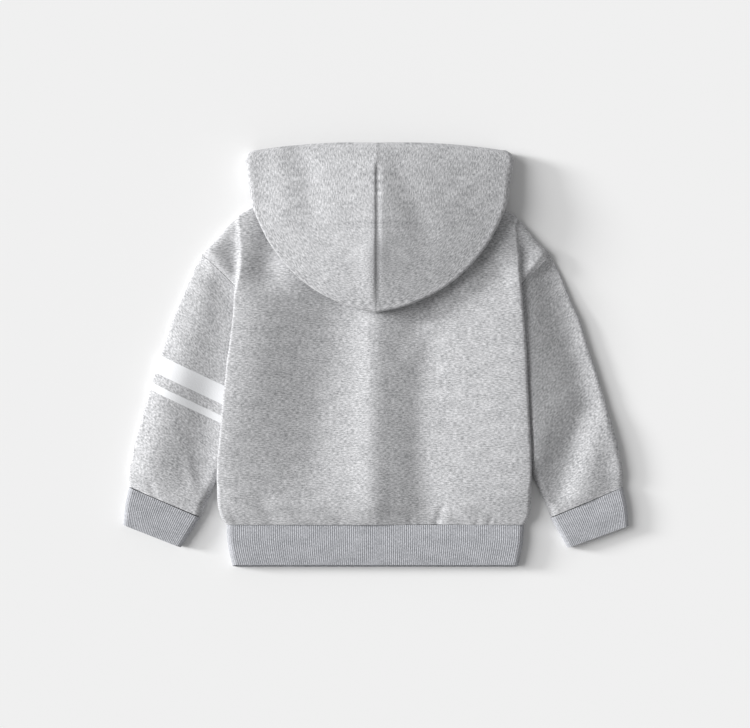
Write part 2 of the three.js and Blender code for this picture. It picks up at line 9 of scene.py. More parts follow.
import bpy
import numpy as np
from bpy.props import FloatProperty, FloatVectorProperty, PointerProperty
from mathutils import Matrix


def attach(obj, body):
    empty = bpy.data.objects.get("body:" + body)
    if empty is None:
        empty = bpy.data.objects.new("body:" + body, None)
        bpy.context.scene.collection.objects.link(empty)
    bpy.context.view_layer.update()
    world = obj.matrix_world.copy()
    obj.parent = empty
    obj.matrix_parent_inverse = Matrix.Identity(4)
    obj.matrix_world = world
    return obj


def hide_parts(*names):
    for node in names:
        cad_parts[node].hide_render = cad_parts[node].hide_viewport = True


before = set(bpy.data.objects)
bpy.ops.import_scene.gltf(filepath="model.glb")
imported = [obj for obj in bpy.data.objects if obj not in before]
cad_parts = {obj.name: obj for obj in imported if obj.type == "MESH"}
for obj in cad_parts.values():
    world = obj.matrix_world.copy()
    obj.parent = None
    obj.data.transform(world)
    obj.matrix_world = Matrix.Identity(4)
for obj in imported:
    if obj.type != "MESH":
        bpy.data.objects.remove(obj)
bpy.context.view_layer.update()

bl_info = {
    "name": "Toddler Hoodie",
    "version": (1, 0, 0),
    "blender": (4, 5, 0),
    "location": "View3D > Sidebar > Hoodie",
    "description": "Makes a laid-out toddler hoodie piece by piece",
    "category": "Object",
}

# Tables and places are in millimetres, as a pattern cutter writes them. Meshes are in metres.
MM = 0.001
BODY = "root"

# Points round a fold of the body, along the flap past it, across half the front, round the front's
# rim, round a sleeve's edge, along a sleeve's lower layer, across a rib and round the hood's fold.
FOLD_POINTS = 10
FLAP_POINTS = 14
FRONT_POINTS = 40
RIM_POINTS = 6
EDGE_POINTS = 8
UNDER_POINTS = 24
RIB_POINTS = 6
HOOD_FOLD_POINTS = 14

# Lengths of cloth that the mesh step divides into points.
BACK_WIDTH = 350.0
SLEEVE_LENGTH = 276.0
SLEEVE_WIDTH = 138.0
CUFF_LENGTH = 38.0
HOOD_UPPER = 150.0
HOOD_LOWER = 90.0
HOOD_SEAM = 190.0

# Room between pieces, the rim that the front turns up, the neck and the hem.
SEAM_GAP = 0.3
CLEARANCE = 0.9
HOOD_CLEARANCE = 1.3
RIM_HEIGHT = 5.8
RIM_RADIUS = 3.0
NECK_Y = 190.0
BACK_NECK_DIP = 18.0
FRONT_NECK_DIP = 30.0
HEM_SEAM_Y = -192.7
HEM_END_Y = -238.3


def table(names, *rows):
    """A table as one array for each named column."""
    return {name: np.array([row[i] for row in rows], float) for i, name in enumerate(names.split())}


# Outline of the body by place up the back: side folds, seams beside or below them, the fold's height
# and radius, and the crown between. turn is how far the cloth has turned at the end of the fold, 0
# outwards, 90 down, 180 inwards, and end is its direction at the seam.
BODY_ROWS = table(
    "y fold_l fold_r seam_l seam_r seam_z top radius crown turn end",
    (-192.4, 170, 168.5, 170, 168.5, 6.2, 14, 4.4, 15.5, 90, 90),
    (-182, 176.5, 174, 176, 173.5, 6.2, 17, 5, 19, 90, 90),
    (-168, 179.5, 175.8, 179, 175.3, 6.2, 19.5, 5.5, 22, 90, 90),
    (-152, 180, 176, 179.5, 175.5, 6.2, 21.5, 5.5, 22, 90, 90),
    (-140, 180, 176, 178, 173, 6.2, 22.5, 3.2, 22, 120, 110),
    (-126, 179.5, 175.8, 171, 166.5, 6.2, 23.5, 3.2, 21.8, 165, 140),
    (-106, 178, 175.2, 162, 157.5, 6.2, 24.5, 3.2, 21.5, 180, 150),
    (-80, 175.5, 173.8, 150, 146.5, 6.2, 25.2, 3.2, 21.3, 180, 150),
    (-52, 173, 172.4, 137, 134.5, 6.2, 26, 3.2, 21.2, 180, 150),
    (-24, 169.8, 171, 124, 122.5, 6.2, 26.3, 3.2, 21.2, 180, 150),
    (-6, 168.2, 170.3, 115, 114.5, 6.2, 26.5, 3.2, 21.2, 180, 150),
    (5, 166.4, 169.8, 110, 110, 6.4, 26.5, 3.2, 21.2, 180, 155),
    (20, 164.4, 168.9, 119, 119, 9.5, 26.5, 3.2, 21.2, 180, 170),
    (37, 162.2, 167.5, 131, 131, 12.8, 26.5, 3.2, 21.2, 180, 178),
    (55, 160.8, 166, 144, 144.5, 14, 26, 3.2, 21.2, 176, 176),
    (69, 160.2, 165, 154, 155.5, 14, 25.5, 3.2, 21.2, 145, 150),
    (80, 157.8, 164.2, 161.6, 164.2, 14.2, 24.8, 3.2, 21.2, 90, 90),
    (88, 156.4, 163.6, 169.5, 172, 15.2, 24, 3.2, 21.2, 78, 4),
    (97, 155.2, 163, 178.5, 181, 16.2, 23, 3.2, 21.2, 84, -6),
    (106, 154.6, 162.4, 188, 189.5, 15, 21.5, 3.2, 21.2, 84, -6),
    (115, 154.4, 161.8, 197, 197, 8, 19.8, 3.2, 21.2, 80, 50),
    (123, 154.8, 161.2, 189, 189, 6.2, 18.5, 3.2, 21.2, 70, 84),
    (131, 155.6, 160.6, 181.5, 181.5, 6.2, 17.2, 3.2, 21.2, 60, 90),
    (142, 157.4, 161, 172, 172.5, 6.2, 15.4, 5, 21.2, 48, 90),
    (154, 158.5, 161, 159.5, 162, 6.2, 13.6, 4.5, 21.2, 86, 90),
    (168, 139, 142, 139, 142, 6.2, 12, 4, 21.2, 90, 90),
    (180, 111, 112, 111, 112, 6.2, 11, 3.8, 21.2, 90, 90),
    (NECK_Y, 82, 82, 82, 82, 6.2, 10.5, 3.6, 21.2, 90, 90),
)

# How far the middle of a row lies below its ends, near the neck.
NECK_ROWS = table(
    "y back front",
    (123, 0, 0),
    (131, 0, 1),
    (142, 0.5, 4),
    (154, 2, 10),
    (168, 7, 18),
    (180, 12.5, 24.5),
    (NECK_Y, BACK_NECK_DIP, FRONT_NECK_DIP),
)

# How far the front's rim is turned up, in degrees. It lies flat along the armholes.
RIM_ROWS = table(
    "y rim",
    (-192.4, 90),
    (0, 90),
    (8, 60),
    (20, 0),
    (104, 0),
    (115, 80),
    (123, 90),
    (NECK_Y, 90),
)
# The least turn, so that the rim's radius stays finite.
RIM_LEAST = 1.0

# The back rises inwards from its side folds: how high and over what distance, on the left above and
# below the elbow and on the right, and how fast that fades.
RIM_RISE = (3.0, 1.5, 0.6)
RIM_SPAN = (26.0, 14.0, 12.0)
RIM_FADE = 30.0

# The stretch of the side folds that has this rise, with a fade at each end, and the height on the
# garment at which the left side passes from its upper to its lower rise.
RIM_TOP_Y = 88.0
RIM_TOP_FADE = 24.0
RIM_LOW_Y = -188.0
RIM_LOW_FADE = 30.0
ELBOW_Y = -40.0
ELBOW_FADE = 60.0

# How level the crown is, and how near the side folds its folds and its finer creases reach.
CROWN_POWER = 2.4
BACK_FOLD_END = 6
CREASE_END = 12

# How far the flap beyond the fold bulges at the shoulder, and where.
FLAP_RISE = 4.2
FLAP_Y = 107.0
FLAP_REACH = 18.0
# t * t * (1 - t) is highest at two thirds of the flap, where it is one part in this.
HUMP_SCALE = 6.75

# Ridges (rise above 0) and troughs of the back, each along a line and fading over its width.
BACK_FOLDS = table(
    "x1 y1 x2 y2 width rise",
    (-32, 100, -68, -118, 46, -8),
    (-3, 40, -5, -172, 19, 3.6),
    (54, 44, 56, -172, 24, -4.6),
    (66, 36, 70, -160, 56, -4.5),
    (-114, 150, -126, 100, 24, -9),
    (118, 140, 124, 96, 22, -5),
    (60, 30, 44, 2, 12, 1.2),
    (74, -176, 68, -192, 4, -0.8),
    (98, -174, 108, -190, 6, 0.8),
    (-130, -160, -118, -190, 9, -1.2),
)

# Finer creases of the back, which only the cloth has.
BACK_CREASES = table(
    "x1 y1 x2 y2 width rise",
    (75, -174, 69, -192, 3, -0.6),
    (83, -178, 80, -192, 3.5, 0.5),
    (131, -184, 128, -192, 2.4, -0.7),
    (116, -187, 113, -192, 2.2, -0.5),
    (40, -184, 38, -192, 3, -0.5),
    (-40, -186, -42, -192, 3, -0.4),
    (-166, -172, -158, -190, 3.5, -1),
    (134, 120, 150, 60, 10, -1.2),
    (60, -60, 66, -130, 12, 0.9),
)

# Sleeve, a row for each ring from the armhole to the wrist: the ring's outer and inner ends seen from
# above, its height, and how much of the armhole's bend it keeps.
SLEEVE_ROWS = table(
    "ring out_x out_y in_x in_y height bend",
    (0, 197.5, 114.6, 111, 4.2, 14, 1),
    (1, 203, 105, 115, -5, 14.5, 0.8),
    (2, 212.5, 85, 122.5, -20, 15.5, 0.55),
    (3, 222, 62, 132, -40, 16.5, 0.3),
    (4, 232, 40, 141, -59, 17, 0.12),
    (5, 240.5, 13, 150, -79, 17.5, 0),
    (6, 250, -15, 159.5, -99, 17.5, 0),
    (7, 258.5, -42, 167.5, -116, 17.5, 0),
    (8, 266, -68, 175, -132, 17.5, 0),
    (9, 273, -93, 182, -146, 17.5, 0),
    (10, 278.5, -116, 188.5, -160, 17, 0),
    (11, 281.5, -136, 194.5, -173, 16, 0),
    (12, 281, -149.5, 198.5, -184, 13.5, 0),
)
ARMHOLE_GAP = 0.6
RING_COUNT = 12

# The folds at both ends of a ring: their half height, and how far in the cloth takes to rise to its
# full height. The left sleeve rises from a low outer fold in a slope that widens from OUTER_SPAN to
# OUTER_SLOPE over the first rings. The right sleeve's outer fold is close and square.
SLEEVE_EDGE = 3.2
EDGE_START = 0.3
OUTER_SPAN = 14.0
OUTER_SLOPE = 42.0
SLOPE_RINGS = 3
OUTER_ROUND = 9.0
OUTER_POWER = 0.6
INNER_ROUND = 9.0

# How fast the first ring's height leaves the armhole's, and the least height of the upper layer.
ARMHOLE_POWER = 0.7
LEAST_HEIGHT = 5.0

# Below this place up the back the body's fold hangs over the sleeve. Past the fold and a margin the
# sleeve rises by so much for each millimetre.
OVERHANG_TOP = 80.0
FOLD_MARGIN = 2.0
RISE_BESIDE = 1.5

# Ridges and troughs of each sleeve: -1 is the left one as seen from above, 1 the right one.
SLEEVE_FOLDS = {
    -1: table(
        "x1 y1 x2 y2 width rise",
        (-172, 66, -178, 10, 24, -2.5),
        (-186, -42, -196, -128, 27, -6.5),
        (-246, -50, -256, -120, 14, 1.5),
        (-213, -120, -206, -152, 6, 1),
        (-255, -149, -249, -165, 4, -1.3),
    ),
    1: table(
        "x1 y1 x2 y2 width rise",
        (172, 66, 182, -108, 18, 3.5),
        (197, 98, 235, -22, 26, -10),
        (237, -62, 200, -152, 21, -9),
        (268, -50, 268, -140, 22, -4.5),
    ),
}

# Cuffs, from the wrist seam to the opening. scale is the height as a share of CUFF_HEIGHT.
CUFF_ROWS = {
    -1: table(
        "ring out_x out_y in_x in_y scale",
        (0, -280.3, -150.4, -200.2, -184.9, 1),
        (1, -284.6, -170, -210.5, -201, 1.04),
        (2, -287, -193, -222, -218.5, 0.94),
    ),
    1: table(
        "ring out_x out_y in_x in_y scale",
        (0, 280.3, -150.4, 198.4, -185.2, 1),
        (1, 284.8, -171, 208.5, -202, 1.04),
        (2, 287, -194, 218, -219, 0.94),
    ),
}
CUFF_HEIGHT = 11.5

# The ribs' roundness, how deep they are cut in below as a share of their height, and the share of
# the way round over which they fade at the folds.
RIB_POWER = 0.7
RIB_CUT = 0.6
RIB_FADE = 0.004

# Hem band, from its seam to its lower edge. under is how far the lower layer reaches past the upper.
HEM_ROWS = table(
    "y left right height under",
    (HEM_SEAM_Y, 169.8, 168, 12.6, 0),
    (-208, 169, 167.5, 14, 1),
    (-226, 166, 164.5, 13.6, 2),
    (HEM_END_Y, 163, 162, 12, 3.1),
)

# Hood, a row for each line from the centre seam out over the cloth, round the fold and back below to
# the neck seam. bow is how far a line curves up in plan, the fold is at out, between low and high,
# and via is a point next to the shoulder.
HOOD_ROWS = table(
    "ray spine_y spine_z bow out_x out_y low high via_x via_y via_z neck_x neck_y neck_z",
    (0, 238.8, 26.5, 3.2, 140, 231.4, 0.2, 20, 82, 203, 0.2, 0.2, 160.9, 0.2),
    (0.4, 235, 28.6, 3, 145.8, 227.4, 0.2, 21, 83, 202, 0.2, 10, 162.4, 0.2),
    (1, 229.6, 32, 2.8, 148, 220, 0.2, 22.5, 84, 200, 0.2, 26, 165, 0.2),
    (2, 217.5, 38, 2.2, 146.5, 207, 0.4, 25, 86, 201, 0.4, 52, 175, 0.4),
    (3, 203, 42.5, 1.4, 144.5, 194, 2, 27.5, 96, 198, 4.5, 75, 189, 3.6),
    (4, 188, 45.5, 0.6, 142.5, 181, 8, 29.5, 104, 191, 11.4, 82, 192.2, 11),
    (5, 173, 48, 0, 139, 166, 13.5, 30.5, 108, 176, 15.5, 76, 186, 13),
    (6, 158, 48.8, 0, 132, 149, 18, 31.5, 100, 164, 20, 63, 181, 16.5),
    (7, 144, 49, 0, 122, 129, 20, 32.5, 85, 155, 23, 50, 177.6, 19.4),
    (8, 132, 49, 0, 106.5, 107, 22, 33.5, 70, 140, 24.5, 37, 174.6, 21.5),
    (9, 121, 48.6, 0, 84, 84, 24, 34.4, 52, 128, 25.2, 24, 172.6, 23),
    (10, 112, 47.8, 0, 56, 65.5, 24.6, 35, 33, 118, 25.6, 12, 171.4, 23.6),
    (11, 105, 46.6, 0, 26, 53, 25, 35.3, 14, 113, 25.8, 4, 171, 23.8),
    (12, 99, 45.4, 0, 0.2, 47.4, 25.2, 35.3, 0.2, 112, 25.8, 0.2, 171, 23.8),
)

# The right half reaches a little further out. From FIRST_RAY_ON_BACK on the lower layers lie on the
# back, and before it they lie just over the floor.
HOOD_WIDER_RIGHT = 1.055
LAST_RAY = 12
FIRST_RAY_ON_BACK = 5
HOOD_LIFT = 0.2
REST_ROUNDS = 4

HOOD_FOLDS = table(
    "x1 y1 x2 y2 width rise",
    (-86, 236, -72, 168, 15, -2.2),
    (-7, 118, -6, 60, 12, 2.4),
    (26, 212, 56, 132, 15, -1.6),
    (90, 178, 106, 190, 6, 0.8),
    (-116, 224, -106, 150, 16, 2),
)

# How the hood slopes from its seam to its fold, how much lower the left side's fold lies in its
# middle, how square the fold is, how near it the folds above reach, and how much closer the points
# stand at the seam.
HOOD_SLOPE_POWER = 1.1
LEFT_LOWER = 4.5
FOLD_POWER = 0.62
HOOD_FOLD_END = 4
SEAM_POWER = 1.35

# The groove along the hood's seam: its depth, its lowest line, and its width left and right of that.
# Above it the seam stands up.
GROOVE_DEPTH = 1.7
GROOVE_X = 0.9
GROOVE_LEFT = 1.9
GROOVE_RIGHT = 4.2
GROOVE_TOP = 217.0
GROOVE_FADE = 9.0
WELT_HEIGHT = 0.5
WELT_WIDTH = 3.0

# The middle line of the sleeve's broad band, from its outer to its inner end.
BAND_LINE = ((-252.0, -8.0), (-173.0, -45.7))
BAND_EDGE = 0.2

# Length of the marl's flecks across each piece's cloth, and along it. Real fibres are finer, and are
# drawn as coarse as they have to be to show.
BODY_FLECK = (4.2, 1.2)
SLEEVE_FLECK = (3.4, 1.4)
HOOD_FLECK = (1.3, 4.4)
RIB_FLECK = (0.9, 2.6)

# The knit's pattern is the sum of flecks, finer fibres and faint clouds: the fibres' size as a share
# of the flecks', the clouds' size, how much both count, and the sum's middle and spread.
FIBRE_SHARE = (0.4, 0.45)
CLOUD_SIZE = (22.0, 12.0)
FIBRE_WEIGHT = 0.45
CLOUD_WEIGHT = 0.22
PATTERN_MIDDLE = 0.835
PATTERN_SPREAD = 0.5

# The Mix node has several sockets of each name. These carry its colours.
MIX_A = 6
MIX_B = 7
MIX_RESULT = 2

# Edges of the mesh that bend less than this are shaded smooth.
SMOOTH_ANGLE = math.radians(50)

# The floor's size and the camera's place over it, in metres, and its sensor's width in millimetres.
FLOOR_SIZE = 6.0
CAMERA_X = -0.0011
CAMERA_Y = -0.0103
SENSOR_WIDTH = 36.0


def mix(a, b, t):
    return a + (b - a) * t


def column(rows, key, name):
    """One column as a smooth function of its key, with no overshoot between rows."""
    keys, values = rows[key], rows[name]
    rates = np.diff(values) / np.diff(keys)
    before, after = rates[:-1], rates[1:]
    both = before * after
    total = np.where(before + after == 0, 1, before + after)
    slopes = np.concatenate([rates[:1], np.where(both <= 0, 0, 2 * both / total), rates[-1:]])

    def at(place):
        inside = np.clip(place, keys[0], keys[-1])
        i = np.clip(np.searchsorted(keys, inside, side="right") - 1, 0, len(keys) - 2)
        span = keys[i + 1] - keys[i]
        t = (inside - keys[i]) / span
        start = t * (1 - t) ** 2 * span * slopes[i]
        finish = t * t * (t - 1) * span * slopes[i + 1]
        return mix(values[i], values[i + 1], t * t * (3 - 2 * t)) + start + finish

    return at


def columns(rows, key):
    return {name: column(rows, key, name) for name in rows}


def fold_height(folds, x, y):
    """Height that a table of folds adds at each place."""
    total = np.zeros(np.broadcast(x, y).shape)
    for x1, y1, x2, y2, width, rise in zip(*(folds[name] for name in "x1 y1 x2 y2 width rise".split())):
        along = np.array((x2 - x1, y2 - y1))
        t = np.clip(((x - x1) * along[0] + (y - y1) * along[1]) / (along @ along), 0, 1)
        distance = np.hypot(x - x1 - t * along[0], y - y1 - t * along[1])
        total = total + rise * np.exp(-((distance / width) ** 2))
    return total


body = columns(BODY_ROWS, "y")
back_dip = column(NECK_ROWS, "y", "back")
front_dip = column(NECK_ROWS, "y", "front")
rim_tilt = column(RIM_ROWS, "y", "rim")


def fold_at(y, side):
    return np.where(np.asarray(side) < 0, body["fold_l"](y), body["fold_r"](y))


def seam_at(y, side):
    return np.where(np.asarray(side) < 0, body["seam_l"](y), body["seam_r"](y))


def back_height(x, y):
    """Upper surface of the back between its folds."""
    reach = fold_at(y, np.sign(x)) - body["radius"](y)
    share = np.clip(np.abs(x) / reach, 0, 1)
    arch = mix(body["crown"](y), body["top"](y), share ** CROWN_POWER)
    return arch + fold_height(BACK_FOLDS, x, y) * (1 - share ** BACK_FOLD_END)


def fine_back(x, y):
    """What the cloth's own creases add: puckers at the hem seam and the pressed rims of the folds."""
    reach = fold_at(y, np.sign(x)) - body["radius"](y)
    inside = reach - np.abs(x)
    fade = 1 - np.clip(np.abs(x) / reach, 0, 1) ** CREASE_END
    upper_end = np.clip((RIM_TOP_Y - y) / RIM_TOP_FADE, 0, 1)
    lower_end = np.clip((y - RIM_LOW_Y) / RIM_LOW_FADE, 0, 1)
    low = np.clip((ELBOW_Y - y) / ELBOW_FADE, 0, 1)
    span = np.where(x < 0, mix(RIM_SPAN[0], RIM_SPAN[1], low), RIM_SPAN[2])
    rise = np.where(x < 0, mix(RIM_RISE[0], RIM_RISE[1], low), RIM_RISE[2])
    climb = 1 - (1 - np.clip(inside / span, 0, 1)) ** 2
    rim = rise * climb * np.exp(-(np.clip(inside - span, 0, None) / RIM_FADE) ** 2)
    return fold_height(BACK_CREASES, x, y) * fade + rim * upper_end * lower_end


def count_of(length, size):
    """How many steps of about this size a length takes."""
    return int(round(length / size))


def steps(low, high, size):
    """Evenly spaced places from low to high, about size apart."""
    return np.linspace(low, high, max(2, count_of(abs(high - low), size) + 1))


def bezier(a, b, c, d, t):
    return (1 - t) ** 3 * a + 3 * t * (1 - t) ** 2 * b + 3 * t * t * (1 - t) * c + t ** 3 * d


def edge_path(y, side):
    """One side of a row of the back: from the top of the fold, round it, and on to the seam."""
    radius = body["radius"](y)
    top = body["top"](y)
    turn = math.radians(body["turn"](y))
    end = math.radians(body["end"](y))
    angle = turn * np.arange(1, FOLD_POINTS + 1) / FOLD_POINTS
    centre = (fold_at(y, side) - radius, top - radius)
    x = centre[0] + radius * np.sin(angle)
    z = centre[1] + radius * np.cos(angle)
    to = (seam_at(y, side), body["seam_z"](y))
    pull = math.hypot(to[0] - x[-1], to[1] - z[-1]) / 3
    lead = (x[-1] + pull * math.cos(turn), z[-1] - pull * math.sin(turn))
    trail = (to[0] - pull * math.cos(end), to[1] + pull * math.sin(end))
    t = np.arange(1, FLAP_POINTS + 1) / FLAP_POINTS
    rise = FLAP_RISE * math.exp(-((y - FLAP_Y) / FLAP_REACH) ** 2)
    hump = rise * (HUMP_SCALE * t * t * (1 - t)) ** 2
    x = np.concatenate([x, bezier(x[-1], lead[0], trail[0], to[0], t)])
    z = np.concatenate([z, bezier(z[-1], lead[1], trail[1], to[1], t) + hump])
    return np.stack([side * x, np.full_like(x, y), z], axis=1)


def back_points(step):
    """Rows of the back from the hem up, each from seam to seam over both folds."""
    rows = []
    for y in steps(BODY_ROWS["y"][0], NECK_Y, step):
        reach = [float(fold_at(y, side) - body["radius"](y)) for side in (-1, 1)]
        x = mix(-reach[0], reach[1], np.linspace(0, 1, count_of(BACK_WIDTH, step) + 1))
        across = np.where(x < 0, x / reach[0], x / reach[1])
        place = y - back_dip(y) * (1 - across ** 2)
        z = back_height(x, y) + fine_back(x, y)
        crown = np.stack([x, place, z], axis=1)
        rows.append(np.concatenate([edge_path(y, -1)[::-1], crown, edge_path(y, 1)]))
    return np.array(rows)


def front_points(step):
    """The front lies flat. Along the shoulders and side seams its rim turns up."""
    round_length = math.pi / 2 * RIM_RADIUS
    straight = RIM_HEIGHT - RIM_RADIUS
    rows = []
    for y in steps(BODY_ROWS["y"][0], NECK_Y, step):
        halves = []
        for side in (-1, 1):
            tilt = math.radians(max(float(rim_tilt(y)), RIM_LEAST))
            radius = round_length / tilt
            rim_reach = radius * math.sin(tilt) + straight * math.cos(tilt)
            reach = float(seam_at(y, side)) - rim_reach - CLEARANCE / 2
            flat = reach * np.arange(1, FRONT_POINTS + 1) / FRONT_POINTS
            angle = tilt * np.arange(1, RIM_POINTS + 1) / RIM_POINTS
            x = np.concatenate([flat, reach + radius * np.sin(angle)])
            z = np.concatenate([np.zeros(FRONT_POINTS), radius * (1 - np.cos(angle))])
            x = np.append(x, x[-1] + straight * math.cos(tilt))
            z = np.append(z, z[-1] + straight * math.sin(tilt))
            place = y - front_dip(y) * (1 - np.clip(x / reach, 0, 1) ** 2)
            halves.append(np.stack([side * x, place, z], axis=1))
        middle = np.array([[0, y - float(front_dip(y)), 0]])
        rows.append(np.concatenate([halves[0][::-1], middle, halves[1]]))
    return np.array(rows)


def sleeve_limit(x, y, side):
    """Highest that a sleeve may reach below the back's fold, and beside it."""
    fold, seam = fold_at(y, side), seam_at(y, side)
    below = body["top"](y) - 2 * body["radius"](y)
    inner = fold - body["radius"](y)
    out = np.abs(x)
    share = np.clip((out - seam) / np.maximum(inner - seam, 1), 0, 1)
    under = np.where(inner - seam < 1, below, mix(body["seam_z"](y), below, share)) - CLEARANCE
    beside = below - CLEARANCE + RISE_BESIDE * (out - fold - FOLD_MARGIN)
    limit = np.where(out > fold + FOLD_MARGIN, beside, under)
    return np.where(y > OVERHANG_TOP, np.inf, limit)


def round_rise(distance, reach):
    """Share of the full height at a distance in from a round fold."""
    return np.sqrt(1 - (1 - np.clip(distance / reach, 0, 1)) ** 2)


def outer_rise(distance, side, ring):
    """How a sleeve rises from its outer edge: a wide slope on the left, a close fold on the right."""
    start = EDGE_START * round_rise(distance, SLEEVE_EDGE)
    reach = mix(OUTER_SPAN, OUTER_SLOPE, min(ring / SLOPE_RINGS, 1))
    slope = 1 - (1 - np.clip(distance / reach, 0, 1)) ** 2
    wide = start + (1 - start) * slope
    return wide if side < 0 else round_rise(distance, OUTER_ROUND) ** OUTER_POWER


def sleeve_width(row):
    return math.hypot(row["out_x"] - row["in_x"], row["out_y"] - row["in_y"])


def sleeve_place(row, first, side, distance):
    """Place on a ring by the distance from its outer end. Near the armhole it follows the seam."""
    share = distance / sleeve_width(row)
    down = mix(first["out_y"], first["in_y"], share)
    bend = row["bend"] * (seam_at(down, side) + ARMHOLE_GAP - mix(first["out_x"], first["in_x"], share))
    x = side * (mix(row["out_x"], row["in_x"], share) + bend)
    return x, mix(row["out_y"], row["in_y"], share)


def sleeve_points(side, step):
    """Rings of a sleeve, the upper layer from its outer to its inner end and then the lower one."""
    sleeve = columns(SLEEVE_ROWS, "ring")
    first = {name: float(at(0)) for name, at in sleeve.items()}
    quarter = 1 - np.cos(np.linspace(0, math.pi / 2, EDGE_POINTS + 1))
    edge = SLEEVE_EDGE * quarter
    middle_count = count_of(SLEEVE_WIDTH - OUTER_SPAN - INNER_ROUND, step)
    rings = []
    for u in np.linspace(0, RING_COUNT, count_of(SLEEVE_LENGTH, step) + 1):
        row = {name: float(at(u)) for name, at in sleeve.items()}
        width = sleeve_width(row)
        middle = np.linspace(OUTER_SPAN, width - INNER_ROUND, middle_count + 1)
        upper = np.concatenate([OUTER_SPAN * quarter[:-1], middle, width - INNER_ROUND * quarter[-2::-1]])
        x, y = sleeve_place(row, first, side, upper)
        rise = np.minimum(outer_rise(upper, side, u), round_rise(width - upper, INNER_ROUND))
        free = row["height"] + fold_height(SLEEVE_FOLDS[side], x, y)
        free = mix(body["seam_z"](y), free, min(u, 1) ** ARMHOLE_POWER)
        height = np.maximum(np.minimum(free, sleeve_limit(x, y, side)), LEAST_HEIGHT)
        top = np.stack([x, y, SLEEVE_EDGE + (height - SLEEVE_EDGE) * rise], axis=1)
        straight = np.linspace(width - SLEEVE_EDGE, SLEEVE_EDGE, UNDER_POINTS)
        lower = np.concatenate([width - edge[1:-1], straight, edge[-2:0:-1]])
        x, y = sleeve_place(row, first, side, lower)
        rise = np.minimum(round_rise(lower, SLEEVE_EDGE), round_rise(width - lower, SLEEVE_EDGE))
        under = np.stack([x, y, SLEEVE_EDGE * (1 - rise)], axis=1)
        rings.append(np.concatenate([top, under]))
    return np.array(rings)


def stadium(half, height, share, raised):
    """Section of a flattened tube, by the share of the way round. raised moves points outwards."""
    radius = height / 2
    straight = 2 * (half - radius)
    quarter = math.pi / 2 * radius
    flip = share >= 0.5
    along = np.where(flip, 1 - share, share) * 2 * (straight + 2 * quarter)
    reach = radius + raised
    left = np.clip(along / quarter, 0, 1) * math.pi / 2
    right = np.clip((along - quarter - straight) / quarter, 0, 1) * math.pi / 2
    flat = np.clip(along - quarter, 0, straight) - straight / 2
    before, after = along < quarter, along > quarter + straight
    x = flat - reach * np.cos(left) * before + reach * np.sin(right) * after
    lift = np.where(before, np.sin(left), np.where(after, np.cos(right), 1))
    return x, radius + np.where(flip, -1, 1) * reach * lift


def band_points(rows, pitch, height):
    """A ribbed tube. Ribs stand up on the side that shows, and are cut in where it rests."""
    first = rows[0]
    around = 2 * (first["half"] - first["height"] / 2) + math.pi / 2 * first["height"]
    ribs = count_of(around, pitch)
    share = np.arange(2 * ribs * RIB_POINTS) / (2 * ribs * RIB_POINTS)
    wave = (0.5 - 0.5 * np.cos(2 * math.pi * share * 2 * ribs)) ** RIB_POWER
    raised = np.where(share < 0.5, height * wave, -height * (1 - wave) * RIB_CUT)
    fade = np.clip(np.minimum(share, np.abs(share - 0.5)) / RIB_FADE, 0, 1)
    fade = fade * np.clip((1 - share) / RIB_FADE, 0, 1)
    rings = []
    for row in rows:
        x, z = stadium(row["half"], row["height"], share, raised * fade)
        lower = row["under"] * (1 - z / row["height"])
        middle, across = row["middle"], row["across"]
        rings.append(np.stack([middle[0] + x * across[0], middle[1] + x * across[1] - lower, z], axis=1))
    return np.array(rings)


def hem_points(sizes, step):
    """The hem band from its seam down. The lower layer reaches a little further."""
    hem = columns({name: values[::-1] for name, values in HEM_ROWS.items()}, "y")
    rows = []
    for y in steps(HEM_SEAM_Y, HEM_END_Y, step):
        left, right = float(hem["left"](y)), float(hem["right"](y))
        rows.append({
            "half": (left + right) / 2,
            "height": float(hem["height"](y)),
            "under": float(hem["under"](y)),
            "middle": ((right - left) / 2, y),
            "across": (1, 0),
        })
    return band_points(rows, sizes.rib_pitch / MM, sizes.rib_height / MM)


def cuff_points(side, sizes, step):
    """A cuff from its seam to its opening."""
    cuff = columns(CUFF_ROWS[side], "ring")
    rows = []
    for u in np.linspace(0, CUFF_ROWS[side]["ring"][-1], count_of(CUFF_LENGTH, step) + 1):
        row = {name: float(at(u)) for name, at in cuff.items()}
        ends = [(row["out_x"], row["out_y"]), (row["in_x"], row["in_y"])]
        left, right = ends if side < 0 else ends[::-1]
        width = math.dist(left, right)
        rows.append({
            "half": width / 2,
            "height": CUFF_HEIGHT * row["scale"],
            "under": 0,
            "middle": ((left[0] + right[0]) / 2, (left[1] + right[1]) / 2),
            "across": ((right[0] - left[0]) / width, (right[1] - left[1]) / width),
        })
    return band_points(rows, sizes.rib_pitch / MM, sizes.rib_height / MM)


def resting_height(x, y):
    """Height at which the hood's lower layer rests, on the back or on the surface past it."""
    side = np.where(x < 0, -1, 1)
    # The neck's dip depends on the row that a place belongs to, so a few rounds settle the row.
    row = y
    for _ in range(REST_ROUNDS):
        share = np.clip(np.abs(x) / fold_at(row, side), 0, 1)
        row = y + back_dip(row) * (1 - share ** 2)
    off = (row > NECK_Y + SEAM_GAP) | (np.abs(x) > fold_at(row, side) + ARMHOLE_GAP)
    return np.where(off, HOOD_LIFT, back_height(x, np.minimum(row, NECK_Y)) + HOOD_CLEARANCE)


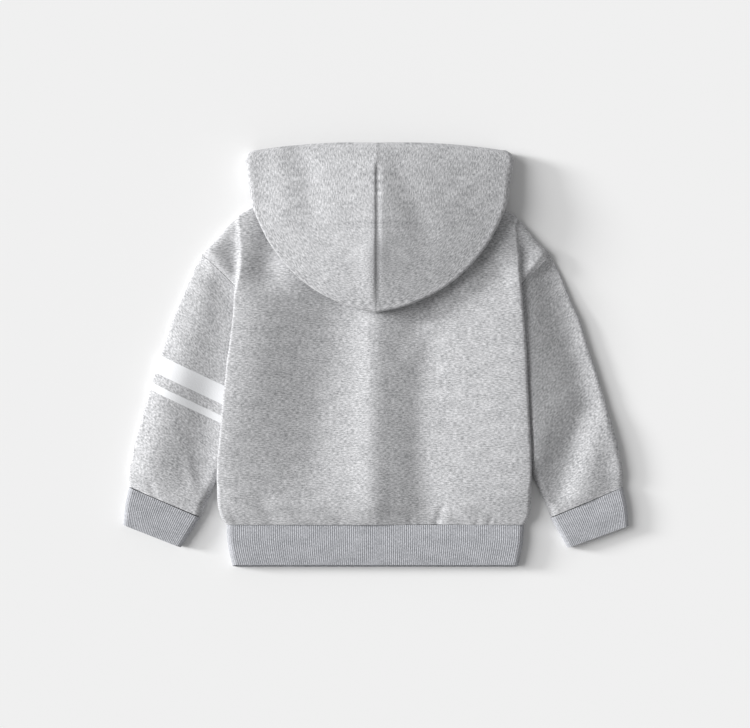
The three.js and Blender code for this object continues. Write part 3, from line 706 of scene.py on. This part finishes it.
def hood_relief(x, y):
    """Groove at the hood's seam, and its folds."""
    fade = np.clip((GROOVE_TOP - y) / GROOVE_FADE, 0, 1)
    width = np.where(x < GROOVE_X, GROOVE_LEFT, GROOVE_RIGHT)
    groove = GROOVE_DEPTH * np.exp(-(((x - GROOVE_X) / width) ** 2)) * fade
    welt = WELT_HEIGHT * np.exp(-((x / WELT_WIDTH) ** 2)) * (1 - fade) * (x > 0)
    return fold_height(HOOD_FOLDS, x, y) - groove + welt


def hood_points(side, step):
    """Lines of a hood panel from the centre seam out, round the fold and below to the neck."""
    hood = columns(HOOD_ROWS, "ray")
    upper_count = count_of(HOOD_UPPER, step)
    lower_count = count_of(HOOD_LOWER, step)
    widen = HOOD_WIDER_RIGHT if side > 0 else 1
    least = SEAM_GAP / 2
    rows = []
    for u in np.linspace(0, LAST_RAY, count_of(HOOD_SEAM, step) + 1):
        row = {name: float(at(u)) for name, at in hood.items()}
        spine = np.array((least, row["spine_y"]))
        out = np.array((max(row["out_x"] * widen, least), row["out_y"]))
        via = np.array((max(row["via_x"], least), row["via_y"]))
        neck = np.array((max(row["neck_x"], least), row["neck_y"]))
        high = row["high"] - (LEFT_LOWER * math.sin(math.pi * u / LAST_RAY) if side < 0 else 0)
        radius = (high - row["low"]) / 2
        middle = (high + row["low"]) / 2
        above = (out - spine) / np.linalg.norm(out - spine)
        below = (out - via) / np.linalg.norm(out - via)
        # The upper layer, from the centre seam to the fold.
        share = (np.arange(upper_count)[:, None] / upper_count) ** SEAM_POWER
        plan = mix(spine, out - above * radius, share)
        plan[:, 1] += 4 * row["bow"] * (share * (1 - share))[:, 0]
        relief = hood_relief(side * plan[:, 0], plan[:, 1]) * (1 - share[:, 0] ** HOOD_FOLD_END)
        height = mix(row["spine_z"], high, share[:, 0] ** HOOD_SLOPE_POWER) + relief
        top = np.column_stack([plan, height])
        # The fold.
        turn = np.linspace(0, 1, HOOD_FOLD_POINTS + 1)[:, None]
        way = mix(above, below, turn)
        way = way / np.linalg.norm(way, axis=1)[:, None]
        angle = math.pi * turn
        round_plan = out - way * radius * (1 - np.clip(np.sin(angle), 0, 1) ** FOLD_POWER)
        drop = np.sign(np.cos(angle)) * np.abs(np.cos(angle)) ** FOLD_POWER
        fold = np.column_stack([round_plan, middle + radius * drop])
        # The lower layer, back to the neck.
        t = np.arange(1, lower_count + 1)[:, None] / lower_count
        start, end = fold[-1], np.append(neck, row["neck_z"])
        mid = 2 * np.append(via, row["via_z"]) - (start + end) / 2
        under = (1 - t) ** 2 * start + 2 * t * (1 - t) * mid + t * t * end
        line = np.concatenate([top, fold, under])
        line[:, 0] = side * np.maximum(line[:, 0], least)
        low = np.full(len(line), HOOD_LIFT)
        if u >= FIRST_RAY_ON_BACK - 1:
            rest = resting_height(line[:, 0], line[:, 1])
            blend = min(1, u - FIRST_RAY_ON_BACK + 1)
            low[upper_count:] = mix(HOOD_LIFT, rest[upper_count:], blend)
        line[:, 2] = np.maximum(line[:, 2], low)
        rows.append(line)
    return np.array(rows)


def linear(hex_colour):
    """An sRGB hex colour as linear red, green and blue."""
    parts = [int(hex_colour[i:i + 2], 16) / 255 for i in (1, 3, 5)]
    return [c / 12.92 if c <= 0.04045 else ((c + 0.055) / 1.055) ** 2.4 for c in parts]


def add(material, kind, settings=None, sockets=None):
    """Adds a node. Each socket, by name or number, gets a value or a link from a node's output."""
    tree = material.node_tree
    node = tree.nodes.new(kind)
    for name, value in (settings or {}).items():
        setattr(node, name, value)
    for name, value in (sockets or {}).items():
        if isinstance(value, bpy.types.NodeSocket):
            tree.links.new(value, node.inputs[name])
        else:
            node.inputs[name].default_value = value
    return node


def marl(name, dark, light, fleck, bands=None):
    """Marl cotton knit: dark and pale fibres spun together, so flecks run along the courses."""
    material = bpy.data.materials.new(name)
    material.use_nodes = True
    material.node_tree.nodes.clear()
    place = add(material, "ShaderNodeUVMap", {"uv_map": "cloth"})
    across, along = fleck

    def grain(across, along, detail):
        scaled = add(material, "ShaderNodeMapping", {"vector_type": "POINT"}, {
            "Vector": place.outputs["UV"],
            "Scale": (1 / (across * MM), 1 / (along * MM), 1),
        })
        return add(material, "ShaderNodeTexNoise", {"noise_dimensions": "2D"}, {
            "Vector": scaled.outputs["Vector"],
            "Scale": 1.0,
            "Detail": detail,
            "Roughness": 0.65,
        }).outputs["Fac"]

    both = add(material, "ShaderNodeMath", {"operation": "MULTIPLY_ADD"}, {
        0: grain(across * FIBRE_SHARE[0], along * FIBRE_SHARE[1], 2.0),
        1: FIBRE_WEIGHT,
        2: grain(across, along, 3.0),
    })
    pattern = add(material, "ShaderNodeMath", {"operation": "MULTIPLY_ADD"}, {
        0: grain(*CLOUD_SIZE, 2.0),
        1: CLOUD_WEIGHT,
        2: both.outputs["Value"],
    })
    share = add(material, "ShaderNodeMapRange", None, {
        "Value": pattern.outputs["Value"],
        "From Min": PATTERN_MIDDLE - PATTERN_SPREAD / 2,
        "From Max": PATTERN_MIDDLE + PATTERN_SPREAD / 2,
    })
    colour = add(material, "ShaderNodeMix", {"data_type": "RGBA"}, {
        "Factor": share.outputs["Result"],
        MIX_A: (*dark, 1),
        MIX_B: (*light, 1),
    })
    base = colour.outputs[MIX_RESULT]
    if bands:
        base = banded(material, base, *bands)
    bump = add(material, "ShaderNodeBump", None, {
        "Strength": 0.35,
        "Distance": 0.0006,
        "Height": both.outputs["Value"],
    })
    surface = add(material, "ShaderNodeBsdfPrincipled", None, {
        "Base Color": base,
        "Roughness": 0.92,
        "Specular IOR Level": 0.25,
        "Sheen Weight": 0.18,
        "Sheen Roughness": 0.55,
        "Normal": bump.outputs["Normal"],
    })
    output = add(material, "ShaderNodeOutputMaterial", None, {"Surface": surface.outputs["BSDF"]})
    output.is_active_output = True
    return material


def banded(material, base, white, sizes):
    """White bands over the knit, by each point's distance from the broad band's middle."""
    place = add(material, "ShaderNodeAttribute", {"attribute_name": "from_band"})
    masks = []
    narrow_middle = sizes.broad_band / 2 + sizes.band_space + sizes.narrow_band / 2
    for middle, width in ((0, sizes.broad_band), (narrow_middle, sizes.narrow_band)):
        offset = add(material, "ShaderNodeMath", {"operation": "SUBTRACT"}, {
            0: place.outputs["Fac"],
            1: middle,
        })
        distance = add(material, "ShaderNodeMath", {"operation": "ABSOLUTE"}, {0: offset.outputs["Value"]})
        masks.append(add(material, "ShaderNodeMapRange", None, {
            "Value": distance.outputs["Value"],
            "From Min": width / 2 - BAND_EDGE * MM,
            "From Max": width / 2 + BAND_EDGE * MM,
            "To Min": 1.0,
            "To Max": 0.0,
        }).outputs["Result"])
    either = add(material, "ShaderNodeMath", {"operation": "MAXIMUM"}, {0: masks[0], 1: masks[1]})
    result = add(material, "ShaderNodeMix", {"data_type": "RGBA"}, {
        "Factor": either.outputs["Value"],
        MIX_A: base,
        MIX_B: (*white, 1),
    })
    return result.outputs[MIX_RESULT]


def select_only(piece):
    for other in bpy.context.selected_objects:
        other.select_set(False)
    piece.select_set(True)
    bpy.context.view_layer.objects.active = piece


def metric_uv(points, around):
    """Distance across and along the cloth for each grid point, in metres."""
    grid = np.concatenate([points, points[:, :1]], axis=1) if around else points
    across = np.linalg.norm(np.diff(grid, axis=1), axis=2)
    u = np.concatenate([np.zeros((len(grid), 1)), np.cumsum(across, axis=1)], axis=1)
    u -= u[:, [grid.shape[1] // 2]]
    middle = grid[:, grid.shape[1] // 2]
    v = np.concatenate([[0], np.cumsum(np.linalg.norm(np.diff(middle, axis=0), axis=1))])
    return np.stack([u, np.repeat(v[:, None], grid.shape[1], axis=1)], axis=2) * MM


def cloth(name, points, material, wall, around=False, flip=False, values=None):
    """A piece of cloth from a grid of its outer points, given its thickness inwards.

    around closes each row into a ring, flip turns the faces outwards where the rows run the other
    way, and values are kept with the points for a material to read.
    """
    rows, count = points.shape[:2]
    uv = metric_uv(points, around)
    last = count if around else count - 1
    faces, corners = [], []
    for i in range(rows - 1):
        for j in range(last):
            right = (j + 1) % count
            quad = [(i, j, j), (i, right, j + 1), (i + 1, right, j + 1), (i + 1, j, j)]
            if flip:
                quad = quad[::-1]
            faces.append([a * count + b for a, b, _ in quad])
            corners.extend((a, c) for a, _, c in quad)
    mesh = bpy.data.meshes.new(name)
    mesh.from_pydata((points.reshape(-1, 3) * MM).tolist(), [], faces)
    layer = mesh.uv_layers.new(name="cloth")
    corners = np.array(corners)
    layer.data.foreach_set("uv", uv[corners[:, 0], corners[:, 1]].ravel())
    if values is not None:
        attribute = mesh.attributes.new("from_band", "FLOAT", "POINT")
        attribute.data.foreach_set("value", values.ravel().astype(np.float32))
    mesh.materials.append(material)
    piece = bpy.data.objects.new(name, mesh)
    bpy.context.scene.collection.objects.link(piece)
    select_only(piece)
    thick = piece.modifiers.new("thickness", "SOLIDIFY")
    thick.thickness = wall
    thick.offset = -1
    thick.use_even_offset = False
    bpy.ops.object.modifier_apply(modifier=thick.name)
    # The wall's thickness may not reach below the floor.
    for vertex in piece.data.vertices:
        vertex.co.z = max(vertex.co.z, 0)
    bpy.ops.object.shade_smooth_by_angle(angle=SMOOTH_ANGLE)
    return piece


def settle(piece, node):
    """Puts a finished piece on the body in its node's place."""
    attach(piece, BODY)
    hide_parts(node)


class HoodieSizes(bpy.types.PropertyGroup):
    wall: FloatProperty(
        name="Cloth", description="Thickness of the fleece", default=0.002, min=0.001, max=0.003,
        unit="LENGTH")
    rib_pitch: FloatProperty(
        name="Rib pitch", description="Distance between ribs", default=0.0024, min=0.001, unit="LENGTH")
    rib_height: FloatProperty(
        name="Rib height", description="How far a rib stands up", default=0.0004, min=0, unit="LENGTH")
    broad_band: FloatProperty(
        name="Broad band", description="Width of the sleeve's broad band", default=0.020, min=0,
        unit="LENGTH")
    narrow_band: FloatProperty(
        name="Narrow band", description="Width of the sleeve's narrow band", default=0.008, min=0,
        unit="LENGTH")
    band_space: FloatProperty(
        name="Band space", description="Distance between the two bands", default=0.012, min=0,
        unit="LENGTH")
    mesh_step: FloatProperty(
        name="Mesh step", description="Distance between the cloth's points", default=0.0022, min=0.001,
        unit="LENGTH")


def colour_property(name, description, hex_colour):
    return FloatVectorProperty(
        name=name, description=description, default=linear(hex_colour), subtype="COLOR", min=0, max=1)


class HoodieColours(bpy.types.PropertyGroup):
    dark_fibre: colour_property("Dark fibre", "Darker yarn of the marl fleece", "#868789")
    pale_fibre: colour_property("Pale fibre", "Paler yarn of the marl fleece", "#e0e0e2")
    rib_dark: colour_property("Rib, dark fibre", "Darker yarn of the rib knit", "#888a8e")
    rib_pale: colour_property("Rib, pale fibre", "Paler yarn of the rib knit", "#cbccd1")
    band: colour_property("Bands", "The sleeve's bands", "#e3e4e6")
    floor: colour_property("Floor", "Plain paper floor", "#f2f2f2")


class HoodieStage(bpy.types.PropertyGroup):
    key: FloatProperty(name="Key light", description="Strength of the soft sun", default=2.07, min=0)
    key_rise: FloatProperty(
        name="Key height", description="Height of the sun above the horizon", default=math.radians(38),
        subtype="ANGLE")
    key_turn: FloatProperty(
        name="Key turn", description="Turn of both suns from the left towards the top",
        default=math.radians(12), subtype="ANGLE")
    key_size: FloatProperty(
        name="Key size", description="Width of the sun's disc", default=math.radians(36),
        subtype="ANGLE")
    side: FloatProperty(name="Side light", description="Strength of the low sun", default=3.13, min=0)
    side_rise: FloatProperty(
        name="Side height", description="Height of the low sun above the horizon",
        default=math.radians(16), subtype="ANGLE")
    side_size: FloatProperty(
        name="Side size", description="Width of the low sun's disc", default=math.radians(12),
        subtype="ANGLE")
    fill: FloatProperty(
        name="Fill", description="Strength of the light from all round", default=0.3, min=0)
    camera_height: FloatProperty(
        name="Camera height", description="Height of the camera", default=2.02, min=0.5, unit="LENGTH")
    lens: FloatProperty(
        name="Lens", description="Focal length, mm on a 36 mm sensor", default=85, min=20)


def fleece_material(context, name="marl_fleece", fleck=BODY_FLECK, bands=None):
    # Marl fleece: matt, slightly hairy cotton knit, so soft flecks and a faint pale edge.
    found = bpy.data.materials.get(name)
    if found:
        return found
    colours = context.scene.hoodie_colours
    return marl(name, colours.dark_fibre[:], colours.pale_fibre[:], fleck, bands)


def rib_material(context):
    # Rib knit: the same marl yarn in close ribs, a little darker and bluer.
    found = bpy.data.materials.get("marl_rib_knit")
    if found:
        return found
    colours = context.scene.hoodie_colours
    return marl("marl_rib_knit", colours.rib_dark[:], colours.rib_pale[:], RIB_FLECK)


class HOODIE_OT_front(bpy.types.Operator):
    """Front panel, flat below everything"""
    bl_idname = "hoodie.front"
    bl_label = "Front panel"

    def execute(self, context):
        sizes = context.scene.hoodie_sizes
        points = front_points(2 * sizes.mesh_step / MM)
        piece = cloth("front_cloth", points, fleece_material(context), sizes.wall, flip=True)
        settle(piece, "front_panel")
        return {"FINISHED"}


class HOODIE_OT_back(bpy.types.Operator):
    """Back panel, from side seam to side seam over the folds"""
    bl_idname = "hoodie.back"
    bl_label = "Back panel"

    def execute(self, context):
        sizes = context.scene.hoodie_sizes
        points = back_points(sizes.mesh_step / MM)
        piece = cloth("back_cloth", points, fleece_material(context), sizes.wall)
        settle(piece, "back_panel")
        return {"FINISHED"}


class HOODIE_OT_sleeves(bpy.types.Operator):
    """The two sleeves, one with its bands"""
    bl_idname = "hoodie.sleeves"
    bl_label = "Sleeves"

    def execute(self, context):
        sizes = context.scene.hoodie_sizes
        colours = context.scene.hoodie_colours
        plain = fleece_material(context, "marl_fleece_sleeve", SLEEVE_FLECK)
        banded_cloth = fleece_material(
            context, "marl_fleece_banded", SLEEVE_FLECK, bands=(colours.band[:], sizes))
        line = np.array(BAND_LINE)
        along = (line[1] - line[0]) / np.linalg.norm(line[1] - line[0])
        for side, name, material in ((-1, "sleeve_left", banded_cloth), (1, "sleeve_right", plain)):
            points = sleeve_points(side, sizes.mesh_step / MM)
            offset = points[..., :2] - line[0]
            values = (offset[..., 0] * along[1] - offset[..., 1] * along[0]) * MM
            piece = cloth(
                name + "_cloth", points, material, sizes.wall, around=True, flip=side < 0,
                values=values if side < 0 else None)
            settle(piece, name)
        return {"FINISHED"}


class HOODIE_OT_cuffs(bpy.types.Operator):
    """The two ribbed cuffs"""
    bl_idname = "hoodie.cuffs"
    bl_label = "Cuffs"

    def execute(self, context):
        sizes = context.scene.hoodie_sizes
        for side, name in ((-1, "cuff_left"), (1, "cuff_right")):
            points = cuff_points(side, sizes, sizes.mesh_step / MM)
            piece = cloth(
                name + "_cloth", points, rib_material(context), sizes.wall, around=True, flip=True)
            settle(piece, name)
        return {"FINISHED"}


class HOODIE_OT_hem(bpy.types.Operator):
    """The ribbed band round the waist"""
    bl_idname = "hoodie.hem"
    bl_label = "Hem band"

    def execute(self, context):
        sizes = context.scene.hoodie_sizes
        points = hem_points(sizes, sizes.mesh_step / MM)
        piece = cloth("hem_cloth", points, rib_material(context), sizes.wall, around=True, flip=True)
        settle(piece, "hem_band")
        return {"FINISHED"}


class HOODIE_OT_hood(bpy.types.Operator):
    """The hood's two panels, folded onto the back"""
    bl_idname = "hoodie.hood"
    bl_label = "Hood"

    def execute(self, context):
        sizes = context.scene.hoodie_sizes
        material = fleece_material(context, "marl_fleece_hood", HOOD_FLECK)
        for side, name in ((-1, "hood_left"), (1, "hood_right")):
            points = hood_points(side, sizes.mesh_step / MM)
            piece = cloth(name + "_cloth", points, material, sizes.wall, flip=side > 0)
            settle(piece, name)
        return {"FINISHED"}


class HOODIE_OT_stage(bpy.types.Operator):
    """Floor, soft light from the left and a camera straight above"""
    bl_idname = "hoodie.stage"
    bl_label = "Stage"

    def execute(self, context):
        scene = context.scene
        stage = scene.hoodie_stage
        bpy.ops.mesh.primitive_plane_add(size=FLOOR_SIZE, location=(0, 0, 0))
        floor = context.object
        floor.name = "floor"
        # Matt paper: evenly white, with no gloss.
        paper = bpy.data.materials.new("matt_paper")
        paper.use_nodes = True
        surface = paper.node_tree.nodes["Principled BSDF"]
        surface.inputs["Base Color"].default_value = (*scene.hoodie_colours.floor, 1)
        surface.inputs["Roughness"].default_value = 1
        surface.inputs["Specular IOR Level"].default_value = 0
        floor.data.materials.append(paper)
        for name, strength, size, rise in (
            ("key", stage.key, stage.key_size, stage.key_rise),
            ("side", stage.side, stage.side_size, stage.side_rise),
        ):
            sun = bpy.data.lights.new(name, "SUN")
            sun.energy = strength
            sun.angle = size
            lamp = bpy.data.objects.new(name, sun)
            scene.collection.objects.link(lamp)
            lamp.rotation_euler = (0, -(math.pi / 2 - rise), -stage.key_turn)
        world = bpy.data.worlds.new("studio")
        world.use_nodes = True
        world.node_tree.nodes["Background"].inputs["Color"].default_value = (1, 1, 1, 1)
        world.node_tree.nodes["Background"].inputs["Strength"].default_value = stage.fill
        scene.world = world
        camera = bpy.data.cameras.new("camera")
        camera.lens = stage.lens
        camera.sensor_width = SENSOR_WIDTH
        eye = bpy.data.objects.new("camera", camera)
        eye.location = (CAMERA_X, CAMERA_Y, stage.camera_height)
        scene.collection.objects.link(eye)
        scene.camera = eye
        scene.view_settings.view_transform = "Standard"
        return {"FINISHED"}


STEPS = (
    HOODIE_OT_stage, HOODIE_OT_front, HOODIE_OT_back, HOODIE_OT_sleeves,
    HOODIE_OT_cuffs, HOODIE_OT_hem, HOODIE_OT_hood,
)


class HOODIE_PT_panel(bpy.types.Panel):
    """Lists the hoodie's pieces and sizes"""
    bl_idname = "HOODIE_PT_panel"
    bl_label = "Hoodie"
    bl_space_type = "VIEW_3D"
    bl_region_type = "UI"
    bl_category = "Hoodie"

    def draw(self, context):
        for group in ("hoodie_sizes", "hoodie_colours", "hoodie_stage"):
            settings = getattr(context.scene, group)
            for name in settings.bl_rna.properties.keys():
                if name not in ("name", "rna_type"):
                    self.layout.prop(settings, name)
        for step in STEPS:
            self.layout.operator(step.bl_idname)


GROUPS = {"hoodie_sizes": HoodieSizes, "hoodie_colours": HoodieColours, "hoodie_stage": HoodieStage}


def register():
    for group in (*GROUPS.values(), *STEPS, HOODIE_PT_panel):
        bpy.utils.register_class(group)
    for name, group in GROUPS.items():
        setattr(bpy.types.Scene, name, PointerProperty(type=group))


def unregister():
    for name in GROUPS:
        delattr(bpy.types.Scene, name)
    for group in reversed((*GROUPS.values(), *STEPS, HOODIE_PT_panel)):
        bpy.utils.unregister_class(group)


def main():
    register()
    for piece in list(bpy.context.selected_objects):
        piece.select_set(False)
    bpy.ops.hoodie.stage()
    bpy.ops.hoodie.front()
    bpy.ops.hoodie.back()
    bpy.ops.hoodie.sleeves()
    bpy.ops.hoodie.cuffs()
    bpy.ops.hoodie.hem()
    bpy.ops.hoodie.hood()


if __name__ == "__main__":
    main()
